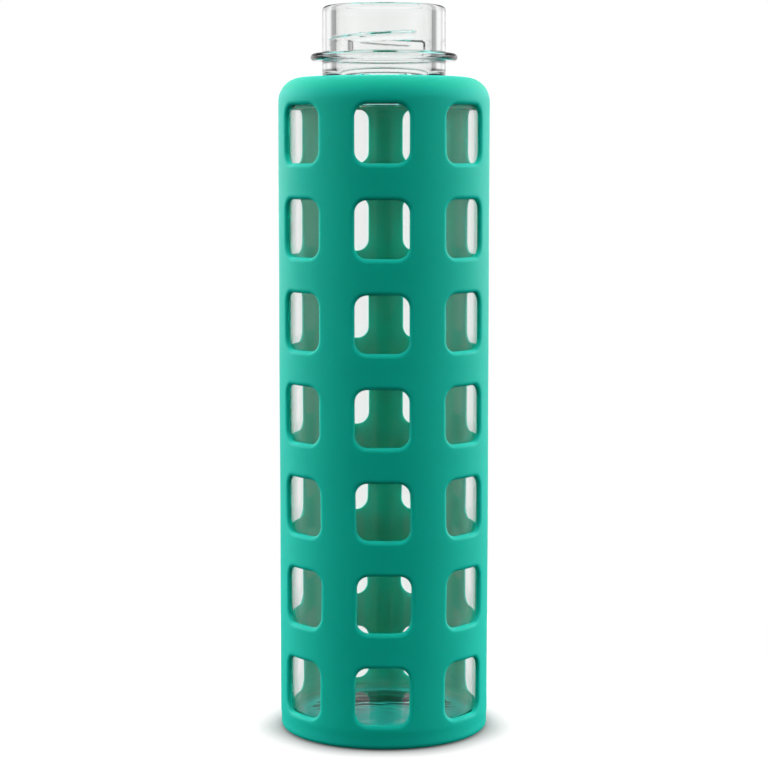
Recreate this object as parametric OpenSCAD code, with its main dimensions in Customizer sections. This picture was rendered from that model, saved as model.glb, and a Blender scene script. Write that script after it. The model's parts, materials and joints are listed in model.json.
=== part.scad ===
// Glass water bottle with a screw-thread neck, held in a pierced silicone sleeve.
// Both pieces are turned about the Z axis. The sleeve's foot ring stands on Z = 0,
// and one column of the sleeve's windows faces -Y.

/* [Bottle body] */
// Outer diameter of the glass body
body_d = 66.4; // [62:0.2:70]
// Thickness of the glass side wall
glass_wall = 2; // [1.6:0.1:3]
// Height of the rim above the surface that the bottle stands on
total_h = 240.8; // [238:0.1:250]
// How far the underside is pushed up at its centre
push_up = 1.6; // [1:0.1:2]

/* [Bottle neck] */
// Outer diameter of the neck, under the thread
neck_d = 40.6; // [40:0.2:41.6]
// Diameter of the drinking mouth
mouth_d = 31.6; // [29:0.2:33]
// Diameter of the transfer ring below the thread
ring_d = 48.4; // [47:0.2:50]
// Thickness of the transfer ring
ring_t = 2.4; // [2:0.1:3]
// Outer diameter over the thread's crest
thread_d = 43.2; // [42.6:0.1:43.8]
// Rise of the thread in one whole turn
thread_lead = 7.5; // [6:0.5:9]

/* [Sleeve] */
// Thickness of the silicone
sleeve_wall = 1.6; // [1.4:0.1:2.4]
// Windows round the sleeve
window_columns = 7; // [5:1:7]
// Windows up the sleeve
window_rows = 7; // [3:1:7]
// Distance from one row of windows to the next
row_pitch = 30.2; // [24:0.1:30.3]
// Width of a window
window_w = 17.5; // [12:0.5:18]
// Height of a window
window_h = 18.6; // [12:0.1:20]
// Radius of a window's corners
window_r = 4; // [2:0.5:5]

/* [Hidden] */

// Smoothness of everything that is turned
round_fn = 180;

// Gap between the glass and the relaxed silicone
fit_gap = 0.1;
floor_t = 2.6;
foot_recess = 0.6;

// Radii
body_r = body_d / 2;
inside_r = body_r - glass_wall;
neck_r = neck_d / 2;
mouth_r = mouth_d / 2;
ring_r = ring_d / 2;
thread_r = thread_d / 2;
sleeve_in_r = body_r + fit_gap;
sleeve_r = sleeve_in_r + sleeve_wall;
opening_r = neck_r + 2.1;

// Heights of the glass, counted down from its rim where they belong to the neck
glass_z = floor_t + fit_gap;
ring_top_z = total_h - 15.5;
ring_z = ring_top_z - ring_t;
shoulder_top_z = total_h - 25;
shoulder_edge_r = 6.2;
shoulder_z = shoulder_top_z - shoulder_edge_r;
mouth_bottom_z = total_h - 20.2;

// Roundings of the glass
heel_r = 5;
inner_heel_r = 3;
floor_z = glass_z + 3;
floor_rise = 0.8;
bearing_r = body_r - 8.7;
rim_out_r = 1.5;
rim_in_r = 1.2;
ring_edge_r = ring_t / 2;
ring_root_r = 0.6;
neck_root_r = 2;
throat_r = 8;
inner_shoulder_r = 6;
inner_shoulder_z = mouth_bottom_z - throat_r;

// Roundings of the sleeve
band_step = 0.2;
foot_r = 1.8;
lip_r = 0.8;

// Windows
window_z = 17.6;

// Thread: angles count from -Y towards +X, heights are the ridge's middle at -Y
thread_z = total_h - 10.7;
thread_from = -57;
thread_to = 33;
thread_steps = 30;
thread_fade = 7;
root_half_h = 1.25;
crest_half_h = 0.6;
root_depth = 0.3;
lug_from = -60;
lug_to = -27;
lug_top_z = total_h - 11.3;
lug_r = thread_r - 0.2;

// Points along an arc, from one angle to another
function arc(centre, radius, from, to, steps = 8) =
    [for (i = [0 : steps]) let (a = from + (to - from) * i / steps)
        centre + radius * [cos(a), sin(a)]];

// Points along a shallow crown that is rise high on the axis and level at edge_r
function crown(edge_r, z, rise, steps = 5) =
    let (big_r = (edge_r * edge_r + rise * rise) / (2 * rise), half = asin(edge_r / big_r))
    [for (i = [0 : steps]) let (a = half * i / steps)
        [i == 0 ? 0 : big_r * sin(a), z + rise - big_r * (1 - cos(a))]];

function reversed(points) = [for (i = [len(points) - 1 : -1 : 0]) points[i]];

// Half section of the glass: up the outside, over the rim and down the inside
glass_section = concat(
    crown(bearing_r, glass_z, push_up),
    arc([body_r - heel_r, glass_z + heel_r], heel_r, -90, 0),
    arc([body_r - shoulder_edge_r, shoulder_z], shoulder_edge_r, 0, 90),
    arc([neck_r + neck_root_r, shoulder_top_z + neck_root_r], neck_root_r, -90, -180, 5),
    arc([neck_r + ring_root_r, ring_z - ring_root_r], ring_root_r, 180, 90, 3),
    arc([ring_r - ring_edge_r, ring_z + ring_edge_r], ring_edge_r, -90, 90),
    arc([neck_r + ring_root_r, ring_top_z + ring_root_r], ring_root_r, -90, -180, 3),
    arc([neck_r - rim_out_r, total_h - rim_out_r], rim_out_r, 0, 90, 5),
    arc([mouth_r + rim_in_r, total_h - rim_in_r], rim_in_r, 90, 180, 5),
    arc([mouth_r + throat_r, mouth_bottom_z], throat_r, 180, 270),
    arc([inside_r - inner_shoulder_r, inner_shoulder_z - inner_shoulder_r],
        inner_shoulder_r, 90, 0),
    arc([inside_r - inner_heel_r, floor_z + inner_heel_r], inner_heel_r, 0, -90),
    reversed(crown(inside_r - inner_heel_r - 2, floor_z, floor_rise))
);

// Half section of the sleeve: up the outside, over the shoulder, down the inside
sleeve_section = concat(
    [[0, foot_recess], [bearing_r + 2, foot_recess], [bearing_r + 2.6, 0]],
    arc([sleeve_r - band_step - foot_r, foot_r], foot_r, -90, 0, 6),
    [[sleeve_r - band_step, foot_r + 1.5], [sleeve_r, foot_r + 3.5]],
    arc([body_r - shoulder_edge_r, shoulder_z], sleeve_r - body_r + shoulder_edge_r, 0, 90),
    arc([opening_r + lip_r, shoulder_top_z + fit_gap + sleeve_wall - lip_r], lip_r, 90, 180, 3),
    [[opening_r, shoulder_top_z + fit_gap]],
    arc([body_r - shoulder_edge_r, shoulder_z], shoulder_edge_r + fit_gap, 90, 0),
    arc([body_r - heel_r, glass_z + heel_r], heel_r + fit_gap, 0, -90),
    [[0, floor_t]]
);

// One length of thread: a low trapezoid ridge that climbs the neck and fades at its ends
module thread_ridge() {
    corners = 4;
    section = function (i)
        let (
            a = thread_from + (thread_to - thread_from) * i / thread_steps,
            from_end = min(a - thread_from, thread_to - a),
            crest = neck_r + (thread_r - neck_r) * max(0.1, min(1, from_end / thread_fade)),
            z = thread_z + thread_lead * a / 360,
            outline = [
                [neck_r - root_depth, z - root_half_h],
                [crest, z - crest_half_h],
                [crest, z + crest_half_h],
                [neck_r - root_depth, z + root_half_h]
            ]
        )
        [for (p = outline) [p[0] * sin(a), -p[0] * cos(a), p[1]]];
    points = [for (i = [0 : thread_steps]) each section(i)];
    sides = [
        for (i = [0 : thread_steps - 1], j = [0 : corners - 1])
            let (
                a = i * corners + j,
                b = i * corners + (j + 1) % corners,
                c = a + corners,
                d = b + corners
            )
            each [[a, b, d], [a, d, c]]
    ];
    last = thread_steps * corners;
    ends = [[3, 2, 1, 0], [last, last + 1, last + 2, last + 3]];
    polyhedron(points = points, faces = concat(sides, ends), convexity = 4);
}

// The block below the start of the ridge, where the lid stops turning
module stop_lug() {
    lug_in_r = neck_r - root_depth;
    lug_z = ring_top_z - root_depth;
    rotate([0, 0, lug_from - 90])
        rotate_extrude(angle = lug_to - lug_from, $fn = round_fn)
            translate([lug_in_r, lug_z])
                square([lug_r - lug_in_r, lug_top_z - lug_z]);
}

module glass_bottle() {
    color([0.80, 0.90, 0.86, 0.45]) {
        rotate_extrude($fn = round_fn) polygon(glass_section);
        for (start = [0, 180])
            rotate([0, 0, start]) {
                thread_ridge();
                stop_lug();
            }
    }
}

// Rounded rectangle, centred
module window_outline() {
    square([window_w - 2 * window_r, window_h], center = true);
    square([window_w, window_h - 2 * window_r], center = true);
    for (side = [-1, 1], end = [-1, 1])
        translate([side * (window_w / 2 - window_r), end * (window_h / 2 - window_r)])
            circle(r = window_r, $fn = 32);
}

module silicone_sleeve() {
    color([0.05, 0.60, 0.53])
        difference() {
            rotate_extrude($fn = round_fn) polygon(sleeve_section);
            for (column = [0 : window_columns - 1], row = [0 : window_rows - 1])
                rotate([0, 0, column * 360 / window_columns])
                    translate([0, 0, window_z + row * row_pitch])
                        rotate([90, 0, 0])
                            translate([0, 0, inside_r - 3])
                                linear_extrude(sleeve_r - inside_r + 6)
                                    window_outline();
        }
}

glass_bottle();
silicone_sleeve();
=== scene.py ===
"""Glass water bottle in a pierced silicone sleeve: looks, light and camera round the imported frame.

Sizes are in millimetres and angles in degrees, counted from -Y towards +X."""
import json
import math

import bpy
import numpy as np
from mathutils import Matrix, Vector, noise


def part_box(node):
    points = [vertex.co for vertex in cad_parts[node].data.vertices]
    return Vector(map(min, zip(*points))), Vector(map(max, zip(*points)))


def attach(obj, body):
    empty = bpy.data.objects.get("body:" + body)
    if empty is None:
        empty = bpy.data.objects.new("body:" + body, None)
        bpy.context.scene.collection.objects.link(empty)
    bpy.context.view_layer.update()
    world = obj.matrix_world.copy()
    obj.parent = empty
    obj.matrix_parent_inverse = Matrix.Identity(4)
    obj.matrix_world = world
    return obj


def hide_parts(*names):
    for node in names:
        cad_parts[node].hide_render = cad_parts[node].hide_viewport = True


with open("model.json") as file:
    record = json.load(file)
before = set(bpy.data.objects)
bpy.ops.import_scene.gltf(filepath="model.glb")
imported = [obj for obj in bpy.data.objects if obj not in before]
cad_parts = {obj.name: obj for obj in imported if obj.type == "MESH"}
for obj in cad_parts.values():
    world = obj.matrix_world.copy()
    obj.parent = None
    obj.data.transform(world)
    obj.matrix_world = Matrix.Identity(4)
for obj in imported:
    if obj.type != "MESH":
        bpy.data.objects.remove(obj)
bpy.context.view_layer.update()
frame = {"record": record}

MM = 0.001


# ---------------------------------------------------------------- sizes

def node_size(node):
    """Radius, bottom and top of a node that is turned about Z."""
    low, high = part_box(node)
    return (high[0] - low[0]) / 2 / MM, low[2] / MM, high[2] / MM


def mount(name):
    return next(m for m in frame["record"]["mounts"] if m["name"] == name)


GLASS_R, GLASS_Z, RIM_Z = node_size("glass_bottle")
SLEEVE_R, _, COLLAR_Z = node_size("silicone_sleeve")
MOUTH_R = mount("mouth")["dims"]["r_mm"]

# Glass
GLASS_WALL = 2.0
INSIDE_R = GLASS_R - GLASS_WALL
NECK_R = MOUTH_R + 4.5
RING_R = NECK_R + 3.9
RING_T = 2.4
RING_TOP_Z = RIM_Z - 15.5
SHOULDER_TOP_Z = RIM_Z - 25.0
SHOULDER_R = 6.2
SHOULDER_Z = SHOULDER_TOP_Z - SHOULDER_R
INNER_SHOULDER_R = 6.0
NECK_ROOT_R = 2.0
RING_ROOT_R = 0.6
RIM_OUT_R, RIM_IN_R = 1.5, 1.2
THROAT_Z = RIM_Z - 20.2
THROAT_R = 8.0
HEEL_R = 5.0
INNER_HEEL_R = 3.0
FLOOR_Z = GLASS_Z + 3.0
FLOOR_RISE = 0.8
PUSH_UP = 1.6
BEARING_R = GLASS_R - 8.7
GLASS_STEPS = 252

# Unevenness of the blown glass: marks in its floor, which fade out towards the heel, and its wall
WRINKLE_H, SWIRL_H = 0.07, 0.05
RIPPLE_FULL_R, RIPPLE_END_R = 22, 28
RIPPLE_TOP_Z = FLOOR_Z + 4
WALL_WAVE_H, WALL_WAVE_FADE = 0.05, 10

# Thread, and the stop lug below its start
THREAD_H = 1.3
THREAD_ROOT_HALF, THREAD_CREST_HALF = 1.35, 0.45
THREAD_START_FADE, THREAD_END_FADE = 8.0, 9.0
THREAD_Z = RIM_Z - 10.7
THREAD_LEAD = 7.5
THREAD_FROM, THREAD_TO = -57.0, 33.0
LUG_FROM, LUG_TO = -60.0, -27.0
LUG_TOP_Z = RIM_Z - 11.3
LUG_FULL_Z, LUG_END_Z = LUG_TOP_Z - 0.15, LUG_TOP_Z + 0.25
LUG_H = 1.2
LUG_START_SLOPE, LUG_END_SLOPE = 7.0, 5.0

# Sleeve
SLEEVE_WALL = 1.6
SLEEVE_IN_R = SLEEVE_R - SLEEVE_WALL
FIT_GAP = 0.1
COLUMNS, ROWS = 7, 7
ROW_PITCH = 30.2
FIRST_ROW_Z = 17.6
WINDOW_W, WINDOW_H, WINDOW_CORNER = 17.5, 18.6, 4.0
LIP_R = 1.42
INNER_LIP_R = 0.15
OPENING_R = NECK_R + 2.1
COLLAR_LIP_R = 0.8
SMALL_EDGE_R = 0.3
BAND_STEP = 0.2
BAND_LOW_Z, BAND_HIGH_Z = 4.0, 6.0
FOOT_R = 1.8
FOOT_RECESS = 0.6
SLEEVE_FLOOR_Z = 2.6
GRID_LOW_Z, GRID_HIGH_Z = 6.2, SHOULDER_Z + 1.0
TWIST, TWIST_Z, TWIST_REACH = 1.25, 56, 26
SLACK = 0.10

# Mesh steps across and up one cell of the window grid, and round half of a window's corner
SIDE_STEPS = 16
UP_STEPS = 18
CORNER_STEPS = 5

# Floor, a hair below the sleeve's foot so that the two faces don't lie in one plane
FLOOR_R = 180
FLOOR_LEVEL = -0.05
# How far the shadow painted into the floor's glow reaches round the sleeve's foot
FLOOR_SHADE_REACH = 12

# Camera
CAMERA_AZIMUTH = 1.1
CAMERA_DISTANCE = 710
EYE_Z = 191
AIM_Z = 116
LENS = 100


# ---------------------------------------------------------------- light and colours

def both_sides(middle, right):
    """Stops from -180 to 180, the same to the left of the middle ones as to the right."""
    left = [(-angle, level) for angle, level in reversed(right)]
    return left + middle + right


# Light on the silicone and the floor, by direction: soft panels on both sides, behind the bottle
PANELS = both_sides(
    [(0, 0.04)],
    [(26, 0.06), (38, 0.36), (50, 0.85), (62, 1.3), (74, 1.75), (86, 2.2), (98, 3.0), (112, 3.9),
     (130, 4.0), (150, 2.3), (180, 0.05)],
)
# The same light by height, from -1 straight down to 1 straight up
PANEL_HEIGHT = [(-1, 0.0), (-0.14, 0.0), (0.0, 1.0), (0.35, 1.0), (0.7, 0.2), (1, 0.2)]
# How much stronger the panels are where they light the sleeve's inside through the glass, by height
THROUGH_GLASS = [(-1, 1.0), (0.15, 1.0), (0.45, 7.0), (1, 7.0)]
# Soft light overhead, by height, for what faces up: the shoulder and the windows' lower lips
CEILING = [(-1, 0.0), (0.3, 0.0), (0.6, 0.55), (1, 0.55)]

# What the glass mirrors, by direction: a white backdrop with darker edges, and dim panels in front
MIRRORED = both_sides(
    [(-8.2, 0.17), (-7.2, 0.04), (7, 0.04)],
    [(31, 0.2), (50, 0.3), (70, 0.55), (81, 0.75), (90, 0.4), (100, 0.1), (135, 0.28), (144, 0.9),
     (158, 0.95), (170, 0.62), (176, 0.95), (180, 1.0)],
)
MIRRORED_HEIGHT = [(-1, 1.0), (0.12, 1.0), (0.22, 0.3), (1, 0.3)]
# More of what it mirrors, below and above, alike in every direction
MIRRORED_MORE = [
    (-1, 0.6), (-0.6, 0.6), (-0.4, 0.0), (0.02, 0.0), (0.045, 0.12), (0.12, 0.12), (0.25, 0.0),
    (0.4, 0.0), (0.6, 0.7), (1, 0.7),
]
# Low panels at both sides, which the glass mirrors in the outer windows
LOW_SIDES = both_sides([], [(92, 0.0), (104, 0.35), (140, 0.35), (148, 0.0), (180, 0.0)])
LOW_SIDES_HEIGHT = [(-1, 0.0), (-0.5, 0.0), (-0.3, 1.0), (0.03, 1.0), (0.045, 0.0), (1, 0.0)]

LIGHT_BOUNCES = 24

# The floor's own glow, in the deepest part of the shadow painted into it and in the open
FLOOR_SHADE_GLOW, FLOOR_OPEN_GLOW = 0.1, 0.82

# Silicone: two tones of its skin, then its inner faces, then a much paler teal nearer the axis, which is
# painted light for the sleeve's floor lit through the glass; because it goes by distance from the axis,
# it also falls on the foot's underside and the collar
SKIN_TONES = (0.0035, 0.64, 0.49, 1), (0.0045, 0.67, 0.52, 1)
LINING_TONE = (0.006, 0.67, 0.47, 1)
PAINTED_FLOOR_LIGHT_TONE = (0.03, 0.95, 0.86, 1)


# ---------------------------------------------------------------- mesh helpers

def smoothstep(low, high, x):
    t = np.clip((np.asarray(x, float) - low) / (high - low), 0, 1)
    return t * t * (3 - 2 * t)


def arc(r, z, radius, start, end, steps):
    """Points along an arc of a half section, angles in degrees."""
    return [
        (r + radius * math.cos(a), z + radius * math.sin(a))
        for a in np.radians(np.linspace(start, end, steps + 1))
    ]


def line(start, end, step, margin=0.3):
    """Points between two corners, close to both ends and step apart between them, ends left out."""
    start, end = np.array(start, float), np.array(end, float)
    length = np.linalg.norm(end - start)
    if length < 3 * margin:
        return []
    inner = np.linspace(margin, length - margin, max(2, round((length - 2 * margin) / step) + 1))
    return [tuple(start + (end - start) * d / length) for d in inner]


def crown(edge_r, z, rise, steps):
    """Shallow dome from the axis out to edge_r, rise high in the middle."""
    return [(edge_r * i / steps, z + rise * (1 - (i / steps) ** 2)) for i in range(steps + 1)]


def make_object(name, points, faces, material):
    """Smooth mesh object in the scene, from points in millimetres."""
    mesh = bpy.data.meshes.new(name)
    mesh.from_pydata([tuple(p) for p in np.asarray(points) * MM], [], faces)
    mesh.polygons.foreach_set("use_smooth", [True] * len(mesh.polygons))
    mesh.materials.append(material)
    mesh.validate()
    mesh.update()
    made = bpy.data.objects.new(name, mesh)
    bpy.context.scene.collection.objects.link(made)
    return made


def ring_faces(lower, upper):
    """Quads between two closed rings of vertex numbers."""
    n = len(lower)
    return [(lower[i], lower[(i + 1) % n], upper[(i + 1) % n], upper[i]) for i in range(n)]


def fan_faces(centre, ring, flip):
    """Triangles from one vertex to a closed ring, turned over if flip."""
    n = len(ring)
    if flip:
        return [(centre, ring[(i + 1) % n], ring[i]) for i in range(n)]
    return [(centre, ring[i], ring[(i + 1) % n]) for i in range(n)]


# ---------------------------------------------------------------- glass bottle

def glass_angles():
    """Directions round the bottle, closest together where the stop lugs begin and end."""
    starts = np.linspace(LUG_FROM - 0.5, LUG_FROM + LUG_START_SLOPE + 0.5, 12)
    ends = np.linspace(LUG_TO - LUG_END_SLOPE - 0.5, LUG_TO + 0.5, 9)
    close = np.concatenate([starts, ends, starts + 180, ends + 180])
    even = np.arange(GLASS_STEPS) * 360 / GLASS_STEPS
    apart = [np.abs((a - close + 180) % 360 - 180).min() > 0.6 for a in even]
    return np.sort(np.concatenate([even[apart], close]) % 360)


def thread_relief(angle, z):
    """How far the thread and its stop lug stand out of the neck, in mm. Two starts, half a turn apart."""
    a = (angle + 90) % 180 - 90
    middle = THREAD_Z + THREAD_LEAD * a / 360
    start = smoothstep(THREAD_FROM, THREAD_FROM + THREAD_START_FADE, a)
    end = smoothstep(THREAD_TO, THREAD_TO - THREAD_END_FADE, a)
    ridge = THREAD_H * start * end * smoothstep(THREAD_ROOT_HALF, THREAD_CREST_HALF, np.abs(z - middle))
    sides = np.clip((a - LUG_FROM) / LUG_START_SLOPE, 0, 1) * np.clip((LUG_TO - a) / LUG_END_SLOPE, 0, 1)
    lug = LUG_H * sides * smoothstep(LUG_END_Z, LUG_FULL_Z, z)
    return np.maximum(ridge, lug)


def glass_outside():
    """Half section up the outside, from the axis to the rim's outer edge."""
    neck_low, neck_high = RING_TOP_Z + RING_ROOT_R, RIM_Z - RIM_OUT_R
    ring_z = RING_TOP_Z - RING_T
    ring_edge_r = RING_T / 2
    neck_root_z = SHOULDER_TOP_Z + NECK_ROOT_R
    return (
        crown(BEARING_R, GLASS_Z, PUSH_UP, 16)
        + line((BEARING_R, GLASS_Z), (GLASS_R - HEEL_R, GLASS_Z), 1.0)
        + arc(GLASS_R - HEEL_R, GLASS_Z + HEEL_R, HEEL_R, -90, 0, 14)
        + line((GLASS_R, GLASS_Z + HEEL_R), (GLASS_R, SHOULDER_Z), 5.0)
        + arc(GLASS_R - SHOULDER_R, SHOULDER_Z, SHOULDER_R, 0, 90, 14)
        + line((GLASS_R - SHOULDER_R, SHOULDER_TOP_Z), (NECK_R + NECK_ROOT_R, SHOULDER_TOP_Z), 1.2)
        + arc(NECK_R + NECK_ROOT_R, neck_root_z, NECK_ROOT_R, -90, -180, 10)
        + line((NECK_R, neck_root_z), (NECK_R, ring_z - RING_ROOT_R), 0.9)
        + arc(NECK_R + RING_ROOT_R, ring_z - RING_ROOT_R, RING_ROOT_R, 180, 90, 6)
        + line((NECK_R + RING_ROOT_R, ring_z), (RING_R - ring_edge_r, ring_z), 0.8)
        + arc(RING_R - ring_edge_r, ring_z + ring_edge_r, ring_edge_r, -90, 90, 16)
        + line((RING_R - ring_edge_r, RING_TOP_Z), (NECK_R + RING_ROOT_R, RING_TOP_Z), 0.8)
        + arc(NECK_R + RING_ROOT_R, neck_low, RING_ROOT_R, -90, -180, 6)
        + line((NECK_R, neck_low), (NECK_R, neck_high), 0.28, 0.14)
        + arc(NECK_R - RIM_OUT_R, neck_high, RIM_OUT_R, 0, 90, 10)
    )


def glass_inside():
    """Half section from the rim's inner edge down to the floor at the axis."""
    throat_end_z = THROAT_Z - THROAT_R
    wall_top_z = throat_end_z - INNER_SHOULDER_R
    heel_z = FLOOR_Z + INNER_HEEL_R
    return (
        line((NECK_R - RIM_OUT_R, RIM_Z), (MOUTH_R + RIM_IN_R, RIM_Z), 0.8)
        + arc(MOUTH_R + RIM_IN_R, RIM_Z - RIM_IN_R, RIM_IN_R, 90, 180, 10)
        + line((MOUTH_R, RIM_Z - RIM_IN_R), (MOUTH_R, THROAT_Z), 1.2)
        + arc(MOUTH_R + THROAT_R, THROAT_Z, THROAT_R, 180, 270, 16)
        + arc(INSIDE_R - INNER_SHOULDER_R, wall_top_z, INNER_SHOULDER_R, 90, 0, 14)
        + line((INSIDE_R, wall_top_z), (INSIDE_R, heel_z), 2.5)
        + arc(INSIDE_R - INNER_HEEL_R, heel_z, INNER_HEEL_R, 0, -90, 16)
        + crown(INSIDE_R - INNER_HEEL_R, FLOOR_Z, FLOOR_RISE, 26)[:-1][::-1]
    )


def floor_ripple(x, y):
    """Chill marks in the floor of the glass, in mm: shallow wrinkles left by the cold mould."""
    away = math.hypot(x, y)
    fade = float(smoothstep(RIPPLE_END_R, RIPPLE_FULL_R, away))
    drift = noise.noise(Vector((x * 0.06, y * 0.06, 3.0))) * 9
    wrinkle = noise.noise(Vector((x * 0.10 + drift * 0.1, (y + drift) * 0.42, 7.0)))
    swirl = noise.noise(Vector((x * 0.23, y * 0.30, 11.0)))
    return fade * (WRINKLE_H * wrinkle + SWIRL_H * swirl)


def wall_wave(angle, z):
    """Uneven thickness of the blown wall, in mm."""
    a = math.radians(angle)
    return WALL_WAVE_H * noise.noise(Vector((1.6 * math.cos(a), 1.6 * math.sin(a), z * 0.022)))


def build_glass(material):
    """One closed skin: rings up the outside, over the rim and down the inside."""
    outside, inside = glass_outside(), glass_inside()
    angles = glass_angles()
    steps = len(angles)
    sin_a, cos_a = np.sin(np.radians(angles)), np.cos(np.radians(angles))
    points, faces, rings = [], [], []

    def add_ring(radii, heights):
        rings.append(range(len(points), len(points) + steps))
        points.extend(zip(radii * sin_a, -radii * cos_a, heights))

    for r, z in outside[1:]:
        radii = np.full(steps, r)
        if z > RING_TOP_Z and r < RING_R - 2:
            radii = np.maximum(r, min(r, NECK_R) + thread_relief(angles, z))
        add_ring(radii, np.full(steps, z))
    for r, z in inside[:-1]:
        radii, heights = np.full(steps, r), np.full(steps, z)
        if z < THROAT_Z:
            waves = np.array([wall_wave(a, z) for a in angles])
            radii = radii + waves * min(1, (THROAT_Z - z) / WALL_WAVE_FADE) * min(1, r / INSIDE_R)
        if z < RIPPLE_TOP_Z:
            heights = heights + [floor_ripple(r * s, -r * c) for s, c in zip(sin_a, cos_a)]
        add_ring(radii, heights)

    for lower, upper in zip(rings, rings[1:]):
        faces += ring_faces(lower, upper)
    points.append((0, 0, outside[0][1]))
    points.append((0, 0, inside[-1][1] + floor_ripple(0, 0)))
    faces += fan_faces(len(points) - 2, rings[0], True)
    faces += fan_faces(len(points) - 1, rings[-1], False)
    return make_object("bottle_glass", points, faces, material)


# ---------------------------------------------------------------- silicone sleeve

def sleeve_outer_r(z):
    """Outer radius of the sleeve's side: slimmer in the lowest band, turning in at the shoulder."""
    turn_r = SHOULDER_R + SLEEVE_R - GLASS_R
    above = np.maximum(0, np.asarray(z, float) - SHOULDER_Z)
    turned_in = turn_r - np.sqrt(turn_r ** 2 - np.minimum(above, turn_r) ** 2)
    return SLEEVE_R - BAND_STEP * (1 - smoothstep(BAND_LOW_Z, BAND_HIGH_Z, z)) - turned_in


def window_outline(grow):
    """Closed rounded rectangle round (0, 0), grown by so many mm: top, left, bottom and right.

    Each of the four starts and ends in the middle of a corner."""
    half_w, half_h = WINDOW_W / 2 + grow, WINDOW_H / 2 + grow
    radius = WINDOW_CORNER + grow
    points = []
    for centre, first, steps, run in (
        ((half_w - radius, half_h - radius), 45, SIDE_STEPS, (-1, 0)),
        ((-half_w + radius, half_h - radius), 135, UP_STEPS, (0, -1)),
        ((-half_w + radius, -half_h + radius), 225, SIDE_STEPS, (1, 0)),
        ((half_w - radius, -half_h + radius), 315, UP_STEPS, (0, 1)),
    ):
        length = 2 * (half_w - radius) if run[0] else 2 * (half_h - radius)
        straight = steps - 2 * CORNER_STEPS
        for i in range(CORNER_STEPS):
            a = math.radians(first + 45 * i / CORNER_STEPS)
            points.append((centre[0] + radius * math.cos(a), centre[1] + radius * math.sin(a)))
        top = math.radians(first + 45)
        corner = (centre[0] + radius * math.cos(top), centre[1] + radius * math.sin(top))
        for i in range(straight + 1):
            d = length * i / straight
            points.append((corner[0] + run[0] * d, corner[1] + run[1] * d))
        end = (centre[0] + run[0] * length, centre[1] + run[1] * length)
        for i in range(1, CORNER_STEPS):
            a = top + math.radians(45 * i / CORNER_STEPS)
            points.append((end[0] + radius * math.cos(a), end[1] + radius * math.sin(a)))
    return np.array(points)


def cell_outline(low, high):
    """The cell's edge, in the same order as window_outline: (angle in degrees, height)."""
    half = 180 / COLUMNS
    top = [(half - 2 * half * i / SIDE_STEPS, high) for i in range(SIDE_STEPS)]
    left = [(-half, high + (low - high) * i / UP_STEPS) for i in range(UP_STEPS)]
    bottom = [(-half + 2 * half * i / SIDE_STEPS, low) for i in range(SIDE_STEPS)]
    right = [(half, low + (high - low) * i / UP_STEPS) for i in range(UP_STEPS)]
    return np.array(top + left + bottom + right)


def on_wall(outline, radius):
    """Angles and heights where an outline in the window's own plane meets a cylinder."""
    return np.stack([np.degrees(np.arcsin(outline[:, 0] / radius)), outline[:, 1]], axis=1)


def cell_rings(middle, low, high):
    """Rings of one cell from its outer edge over the lip, through the window and out on the inside.

    Each ring is (angle from the column's middle in degrees, radius, height)."""
    edge = cell_outline(low, high)
    offset = np.array([0, middle])
    rings = []

    def add(angle_height, radius):
        rings.append(np.column_stack([angle_height[:, 0], radius, angle_height[:, 1]]))

    outer_lip = on_wall(window_outline(LIP_R), SLEEVE_R) + offset
    for t in (0, 0.35, 0.7, 0.93):
        flat = edge + (outer_lip - edge) * t
        add(flat, sleeve_outer_r(flat[:, 1]))

    def through(grow, depth_of):
        """A ring on the window's wall: its outline grown, at a depth under the surface it leaves."""
        outline = window_outline(grow)
        height = outline[:, 1] + middle
        across = outline[:, 0]
        depth = depth_of(across, height)
        add(np.column_stack([np.degrees(np.arctan2(across, depth)), height]), np.hypot(across, depth))

    for i in range(7):
        t = math.radians(90 * i / 6)
        sunk = LIP_R * (1 - math.cos(t))
        through(LIP_R * (1 - math.sin(t)),
                lambda x, z: np.sqrt(sleeve_outer_r(z) ** 2 - x ** 2) - sunk)
    for i in range(4):
        t = math.radians(90 * i / 3)
        raised = INNER_LIP_R * (1 - math.sin(t))
        through(INNER_LIP_R * (1 - math.cos(t)),
                lambda x, z: np.sqrt(SLEEVE_IN_R ** 2 - x ** 2) + raised)

    inner_lip = on_wall(window_outline(INNER_LIP_R), SLEEVE_IN_R) + offset
    for t in (0.12, 0.5, 1):
        flat = inner_lip + (edge - inner_lip) * t
        add(flat, np.full(len(flat), SLEEVE_IN_R))
    return rings


def sleeve_twist(z):
    """Degrees by which the stretchy sleeve sits turned on the glass."""
    return TWIST * math.exp(-(((z - TWIST_Z) / TWIST_REACH) ** 2))


def relax(points):
    """Gives the moulded grid the slight unevenness of a stretched skin, outer surface most."""
    out = []
    for angle, radius, z in points:
        turned = math.radians(angle + sleeve_twist(z))
        skin = (radius - SLEEVE_IN_R) / SLEEVE_WALL
        where = Vector((math.sin(turned) * 1.1, math.cos(turned) * 1.1, z * 0.02))
        radius += SLACK * max(0, min(1, skin)) * noise.noise(where)
        out.append((radius * math.sin(turned), -radius * math.cos(turned), z))
    return out


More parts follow.
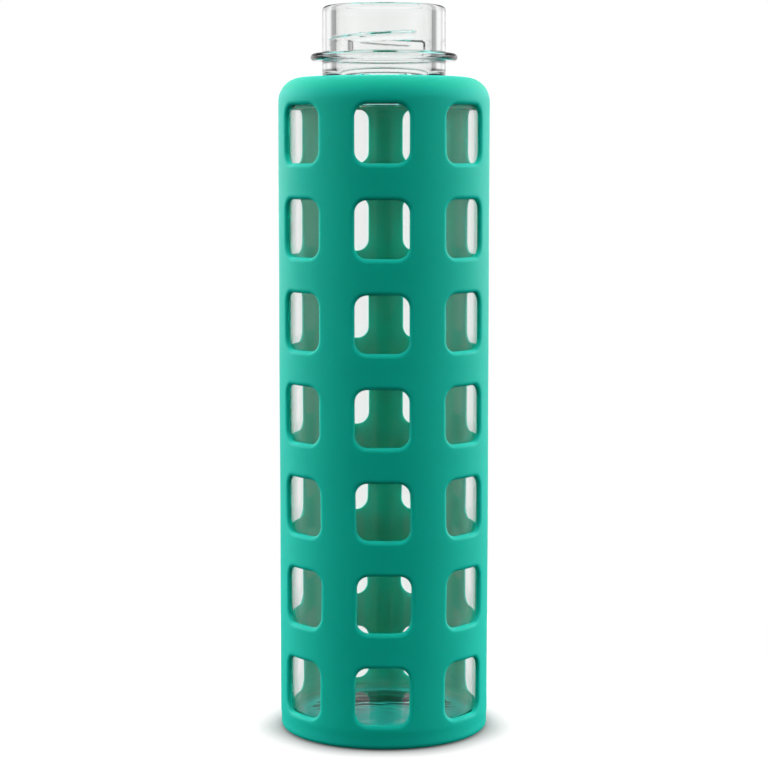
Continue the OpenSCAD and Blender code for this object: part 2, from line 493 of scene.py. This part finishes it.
def build_sleeve(material):
    """One closed skin: the grid of windows, then the shoulder and the foot that close it."""
    numbers, points, faces = {}, [], []

    def vertex(angle, radius, z):
        key = (round(angle % 360, 4) % 360, round(radius, 4), round(z, 4))
        if key not in numbers:
            numbers[key] = len(points)
            points.append(key)
        return numbers[key]

    step = 360 / COLUMNS
    for row in range(ROWS):
        middle = FIRST_ROW_Z + row * ROW_PITCH
        low = GRID_LOW_Z if row == 0 else middle - ROW_PITCH / 2
        high = GRID_HIGH_Z if row == ROWS - 1 else middle + ROW_PITCH / 2
        rings = cell_rings(middle, low, high)
        for column in range(COLUMNS):
            made = [[vertex(a + column * step, r, z) for a, r, z in ring] for ring in rings]
            for outer, inner in zip(made, made[1:]):
                faces += ring_faces(outer, inner)

    around = [step * (c + i / SIDE_STEPS) - step / 2 for c in range(COLUMNS) for i in range(SIDE_STEPS)]

    def close(profile):
        """Turns a half section about Z, joined to the grid at both ends or to the axis."""
        rings = []
        for r, z in profile:
            rings.append([vertex(a, r, z) for a in around] if r > 0 else [vertex(0, 0, z)])
        for lower, upper in zip(rings, rings[1:]):
            if len(lower) == 1:
                faces.extend(fan_faces(lower[0], upper, True))
            elif len(upper) == 1:
                faces.extend(fan_faces(upper[0], lower, False))
            else:
                faces.extend(ring_faces(lower, upper))

    shoulder_in_r = GLASS_R - SHOULDER_R
    collar_r = OPENING_R + COLLAR_LIP_R
    collar_edge_r = OPENING_R + SMALL_EDGE_R
    collar_low_z = COLLAR_Z - SLEEVE_WALL
    close(
        [(float(sleeve_outer_r(GRID_HIGH_Z)), GRID_HIGH_Z)]
        + arc(shoulder_in_r, SHOULDER_Z, SHOULDER_R + SLEEVE_R - GLASS_R, 11, 90, 16)
        + line((shoulder_in_r, COLLAR_Z), (collar_r, COLLAR_Z), 0.9)
        + arc(collar_r, COLLAR_Z - COLLAR_LIP_R, COLLAR_LIP_R, 90, 180, 8)
        + arc(collar_edge_r, collar_low_z + SMALL_EDGE_R, SMALL_EDGE_R, 180, 270, 3)
        + line((collar_edge_r, collar_low_z), (shoulder_in_r, collar_low_z), 1.2)
        + arc(shoulder_in_r, SHOULDER_Z, SHOULDER_R + FIT_GAP, 90, 14, 11)
        + [(SLEEVE_IN_R, GRID_HIGH_Z)]
    )
    close(
        [(SLEEVE_IN_R, GRID_LOW_Z)]
        + arc(GLASS_R - HEEL_R, GLASS_Z + HEEL_R, HEEL_R + FIT_GAP, -22, -90, 12)
        + line((GLASS_R - HEEL_R, SLEEVE_FLOOR_Z), (1.0, SLEEVE_FLOOR_Z), 4.0)
        + [(0, SLEEVE_FLOOR_Z)]
    )
    band_r = SLEEVE_R - BAND_STEP
    foot_in_r = BEARING_R + 2
    foot_edge_r = foot_in_r + 2 * SMALL_EDGE_R
    close(
        [(0, FOOT_RECESS)]
        + line((0.5, FOOT_RECESS), (foot_in_r, FOOT_RECESS), 4.0)
        + arc(foot_in_r, FOOT_RECESS - SMALL_EDGE_R, SMALL_EDGE_R, 90, 0, 4)[:4]
        + arc(foot_edge_r, SMALL_EDGE_R, SMALL_EDGE_R, 180, 270, 4)
        + line((foot_edge_r, 0), (band_r - FOOT_R, 0), 0.9)
        + arc(band_r - FOOT_R, FOOT_R, FOOT_R, -90, 0, 12)
        + [(band_r, 2.8), (band_r, BAND_LOW_Z)]
        + [(float(sleeve_outer_r(z)), z) for z in (5.0, GRID_LOW_Z)]
    )
    return make_object("silicone_skin", relax(points), faces, material)


# ---------------------------------------------------------------- materials

def node_adder(tree):
    """Helper that adds a node to a tree and sets or wires its inputs, by name or in order."""

    def add(kind, inputs=(), **settings):
        node = tree.nodes.new(kind)
        for key, value in settings.items():
            setattr(node, key, value)
        for key, value in inputs.items() if isinstance(inputs, dict) else enumerate(inputs):
            if isinstance(value, bpy.types.NodeSocket):
                tree.links.new(value, node.inputs[key])
            else:
                node.inputs[key].default_value = value
        return node

    return add


def new_material(name):
    """Material with a Principled shader, and the helper that adds nodes to it."""
    made = bpy.data.materials.new(name)
    made.use_nodes = True
    tree = made.node_tree
    shader = next(n for n in tree.nodes if n.type == "BSDF_PRINCIPLED")
    return made, tree, shader, node_adder(tree)


def glass_material():
    """Clear soda-lime glass, faintly green, with the soft waves of a blown surface."""
    made, tree, shader, add = new_material("clear_glass")
    shader.inputs["Base Color"].default_value = (0.972, 0.982, 0.975, 1)
    shader.inputs["Roughness"].default_value = 0.0
    shader.inputs["IOR"].default_value = 1.52
    shader.inputs["Transmission Weight"].default_value = 1.0
    place = add("ShaderNodeTexCoord").outputs["Object"]
    stretched = add("ShaderNodeMapping", {"Vector": place, "Scale": (1, 1, 0.35)})
    waves = add("ShaderNodeTexNoise", {"Vector": stretched.outputs[0], "Scale": 55.0, "Detail": 1.0})
    bump = add("ShaderNodeBump", {"Height": waves.outputs[0], "Strength": 0.06, "Distance": 0.001})
    tree.links.new(bump.outputs[0], shader.inputs["Normal"])
    return made


def silicone_material():
    """Satin moulded silicone: teal right through, with a fine grain and faint mottling, and a much paler
    teal nearer the axis that is painted light on the sleeve's floor.
    """
    made, tree, shader, add = new_material("teal_silicone")
    place = add("ShaderNodeTexCoord").outputs["Object"]
    mottle = add("ShaderNodeTexNoise", {"Vector": place, "Scale": 28.0, "Detail": 3.0}).outputs[0]
    skin = add("ShaderNodeValToRGB", {"Fac": mottle})
    for element, position, tone in zip(skin.color_ramp.elements, (0.3, 0.7), SKIN_TONES):
        element.position = position
        element.color = tone

    across = add("ShaderNodeVectorMath", [place, (1, 1, 0)], operation="MULTIPLY").outputs[0]
    radius = add("ShaderNodeVectorMath", [across], operation="LENGTH").outputs["Value"]

    def share_within(outer_r, inner_r):
        """From 0 at one distance from the axis to 1 at a smaller one."""
        limits = {"Value": radius, "From Min": outer_r * MM, "From Max": inner_r * MM}
        return add("ShaderNodeMapRange", limits).outputs[0]

    # Painted light: nearer the axis the inner faces turn a much paler teal, which stands for light on the
    # sleeve's floor
    in_painted_floor_light = share_within(GLASS_R - 3, GLASS_R - 6)
    in_lining = share_within(SLEEVE_IN_R + 0.9, SLEEVE_IN_R + 0.2)
    lining_and_painted_floor_light = add("ShaderNodeMixRGB", [in_painted_floor_light, LINING_TONE, PAINTED_FLOOR_LIGHT_TONE]).outputs[0]
    whole = add("ShaderNodeMixRGB", [in_lining, skin.outputs[0], lining_and_painted_floor_light]).outputs[0]
    tree.links.new(whole, shader.inputs["Base Color"])

    rough = add("ShaderNodeMapRange", {"Value": mottle, "From Min": 0.3, "From Max": 0.7,
                                       "To Min": 0.46, "To Max": 0.54})
    tree.links.new(rough.outputs[0], shader.inputs["Roughness"])
    shader.inputs["IOR"].default_value = 1.41
    shader.inputs["Specular IOR Level"].default_value = 0.15
    shader.inputs["Subsurface Weight"].default_value = 0.45
    shader.inputs["Subsurface Radius"].default_value = (0.3, 3.2, 3.3)
    shader.inputs["Subsurface Scale"].default_value = 0.001
    grain = add("ShaderNodeTexNoise", {"Vector": place, "Scale": 5200.0, "Detail": 2.0})
    bump = add("ShaderNodeBump", {"Height": grain.outputs[0], "Strength": 0.12, "Distance": 0.0001})
    tree.links.new(bump.outputs[0], shader.inputs["Normal"])
    return made


def floor_material():
    """White paper sweep that glows evenly and is dark only close round what stands on it: mostly a shadow
    painted into its glow, with a little real shade on its faint grey colour.
    """
    made, tree, shader, add = new_material("white_sweep")
    place = add("ShaderNodeTexCoord").outputs["Object"]
    fibre = add("ShaderNodeTexNoise", {"Vector": place, "Scale": 900.0, "Detail": 2.0})
    colour = add("ShaderNodeValToRGB", {"Fac": fibre.outputs[0]})
    colour.color_ramp.elements[0].color = (0.30, 0.30, 0.30, 1)
    colour.color_ramp.elements[1].color = (0.33, 0.33, 0.33, 1)
    tree.links.new(colour.outputs[0], shader.inputs["Base Color"])
    shader.inputs["Roughness"].default_value = 1.0
    shader.inputs["Specular IOR Level"].default_value = 0.0
    shader.inputs["Emission Color"].default_value = (1, 1, 1, 1)
    # Painted shadow: the glow is dimmed where what stands on the floor hems it in
    openness = add("ShaderNodeAmbientOcclusion", {"Distance": FLOOR_SHADE_REACH * MM})
    glow = add("ShaderNodeMapRange", {"Value": openness.outputs["AO"], "From Min": 0.45, "From Max": 0.97,
                                      "To Min": FLOOR_SHADE_GLOW, "To Max": FLOOR_OPEN_GLOW})
    tree.links.new(glow.outputs[0], shader.inputs["Emission Strength"])
    return made


# ---------------------------------------------------------------- studio and camera

def build_studio():
    """Surround that is white where it is seen, with one light for the silicone and one for the glass."""
    scene = bpy.context.scene
    world = bpy.data.worlds.new("studio")
    scene.world = world
    world.use_nodes = True
    tree = world.node_tree
    tree.nodes.clear()
    add = node_adder(tree)

    def math_node(operation, a, b):
        return add("ShaderNodeMath", [a, b], operation=operation).outputs[0]

    def ramp(value, low, high, stops):
        """Brightness along a value that runs from low to high."""
        share = add("ShaderNodeMapRange", [value, low, high]).outputs[0]
        node = add("ShaderNodeValToRGB", [share])
        peak = max(level for _, level in stops)
        elements = node.color_ramp.elements
        while len(elements) < len(stops):
            elements.new(0.5)
        for element, (at, level) in zip(elements, stops):
            element.position = (at - stops[0][0]) / (stops[-1][0] - stops[0][0])
            element.color = (level / peak, level / peak, level / peak, 1)
        return math_node("MULTIPLY", node.outputs[0], peak)

    way = add("ShaderNodeSeparateXYZ", [add("ShaderNodeTexCoord").outputs["Generated"]]).outputs
    turn = math_node("ARCTAN2", way[0], math_node("MULTIPLY", way[1], -1.0))

    def by_height(stops):
        return ramp(way[2], -1, 1, stops)

    def panels(round_stops, height_stops):
        """Brightness by direction round the bottle, times brightness by height."""
        return math_node("MULTIPLY", ramp(turn, -math.pi, math.pi, round_stops), by_height(height_stops))

    path = add("ShaderNodeLightPath").outputs
    boost = add("ShaderNodeMixRGB", [path["Is Transmission Ray"], (1, 1, 1, 1), by_height(THROUGH_GLASS)])
    soft = math_node("MULTIPLY", panels(PANELS, PANEL_HEIGHT), boost.outputs[0])
    light = add("ShaderNodeBackground", [math_node("ADD", soft, by_height(CEILING)), 1.0])

    edges = math_node("ADD", panels(MIRRORED, MIRRORED_HEIGHT), by_height(MIRRORED_MORE))
    edges = math_node("ADD", edges, panels(LOW_SIDES, LOW_SIDES_HEIGHT))
    mirrored = add("ShaderNodeBackground", [edges, 1.0])
    seen = add("ShaderNodeBackground", [(1, 1, 1, 1), 1.0])

    reflections = math_node("ADD", path["Diffuse Depth"], path["Glossy Depth"])
    straight = math_node("MAXIMUM", path["Is Camera Ray"], path["Is Transmission Ray"])
    is_seen = math_node("MULTIPLY", straight, math_node("LESS_THAN", reflections, 0.5))
    not_diffused = math_node("LESS_THAN", path["Diffuse Depth"], 0.5)
    is_mirrored = math_node("MULTIPLY", path["Is Singular Ray"], not_diffused)
    glassy = add("ShaderNodeMixShader", [is_mirrored, light.outputs[0], mirrored.outputs[0]])
    whole = add("ShaderNodeMixShader", [is_seen, glassy.outputs[0], seen.outputs[0]])
    add("ShaderNodeOutputWorld", [whole.outputs[0]])


def build_floor():
    """Round floor, wider than the view. Only the camera sees it, so it can't fog the glass."""
    around = np.linspace(0, 2 * math.pi, 96, endpoint=False)
    rim = [(FLOOR_R * math.cos(a), FLOOR_R * math.sin(a), FLOOR_LEVEL) for a in around]
    floor = make_object("floor", rim, [tuple(range(len(rim)))], floor_material())
    floor.visible_diffuse = False
    floor.visible_glossy = False
    floor.visible_transmission = False
    floor.visible_shadow = False


def build_camera():
    camera = bpy.data.objects.new("camera", bpy.data.cameras.new("camera"))
    bpy.context.scene.collection.objects.link(camera)
    a = math.radians(CAMERA_AZIMUTH)
    eye = Vector((CAMERA_DISTANCE * math.sin(a), -CAMERA_DISTANCE * math.cos(a), EYE_Z)) * MM
    aim = Vector((0, 0, AIM_Z)) * MM
    camera.location = eye
    camera.rotation_euler = (aim - eye).to_track_quat("-Z", "Y").to_euler()
    camera.data.lens = LENS
    camera.data.clip_start = 0.01
    camera.data.clip_end = 100
    bpy.context.scene.camera = camera


# ---------------------------------------------------------------- the bottle

build_camera()
build_studio()
build_floor()
bpy.context.scene.view_settings.view_transform = "Standard"
bpy.context.scene.cycles.max_bounces = LIGHT_BOUNCES
bpy.context.scene.cycles.transmission_bounces = LIGHT_BOUNCES

glass = build_glass(glass_material())
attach(glass, "bottle")
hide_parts("glass_bottle")

sleeve = build_sleeve(silicone_material())
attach(sleeve, "sleeve")
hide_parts("silicone_sleeve")
